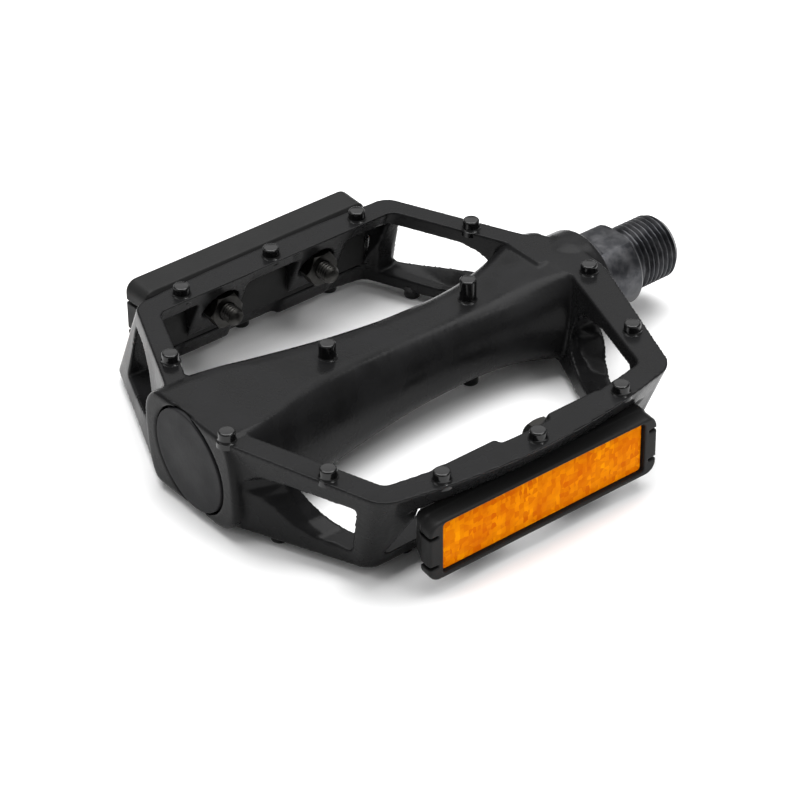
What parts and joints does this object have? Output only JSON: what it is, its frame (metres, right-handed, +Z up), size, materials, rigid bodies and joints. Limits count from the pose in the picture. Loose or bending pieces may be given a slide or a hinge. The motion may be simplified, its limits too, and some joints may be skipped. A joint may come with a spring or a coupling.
{
  "type": "flat bicycle pedal",
  "caption": "Flat bicycle pedal: cast cage with short traction pins on a threaded spindle, with amber reflectors front and rear.",
  "frame": {"origin": "centre of the spindle's threaded end face", "axes": "+Y along the spindle toward the crank, +X toward the front reflector, +Z up through the tread"},
  "size_m": [0.1002, 0.1221, 0.0248],
  "materials": {
    "cage_paint": "satin to gloss black over die casting",
    "spindle_steel": "black oxide, satin",
    "bearing_steel": "ground, oiled",
    "dark_zinc": "black zinc",
    "housing_plastic": "moulded black",
    "cap_plastic": "moulded black",
    "seal_rubber": "matte",
    "amber_lens": "clear amber over moulded prisms"
  },
  "bodies": {
    "spindle_set": {"spindle": "spindle_steel", "outer_cone": "bearing_steel", "keyed_washer": "dark_zinc", "lock_nut": "dark_zinc"},
    "pedal_body": {"cage_body": "cage_paint", "dust_cap": "cap_plastic", "inner_seal": "seal_rubber", "outer_cup": "bearing_steel", "inner_cup": "bearing_steel", "front_housing": "housing_plastic", "front_lens": "amber_lens", "front_bolt_outer": "dark_zinc", "front_bolt_inner": "dark_zinc", "front_nut_outer": "dark_zinc", "front_nut_inner": "dark_zinc", "rear_housing": "housing_plastic", "rear_lens": "amber_lens", "rear_bolt_outer": "dark_zinc", "rear_bolt_inner": "dark_zinc", "rear_nut_outer": "dark_zinc", "rear_nut_inner": "dark_zinc"},
    "outer_balls": {"outer_ball_ring": "bearing_steel"},
    "inner_balls": {"inner_ball_ring": "bearing_steel"}
  },
  "joints": [
    {"name": "pedal_spin", "type": "hinge", "parent": "spindle_set", "child": "pedal_body", "pos_m": [0, -0.075, 0], "axis": [0, 1, 0], "continuous": true},
    {"name": "outer_balls_roll", "type": "hinge", "parent": "spindle_set", "child": "outer_balls", "pos_m": [0, -0.1105, 0], "axis": [0, 1, 0], "continuous": true},
    {"name": "inner_balls_roll", "type": "hinge", "parent": "spindle_set", "child": "inner_balls", "pos_m": [0, -0.0285, 0], "axis": [0, 1, 0], "continuous": true}
  ],
  "couplings": [
    {"joint": "outer_balls_roll", "follows": "pedal_spin", "ratio": 0.589},
    {"joint": "inner_balls_roll", "follows": "pedal_spin", "ratio": 0.589}
  ]
}
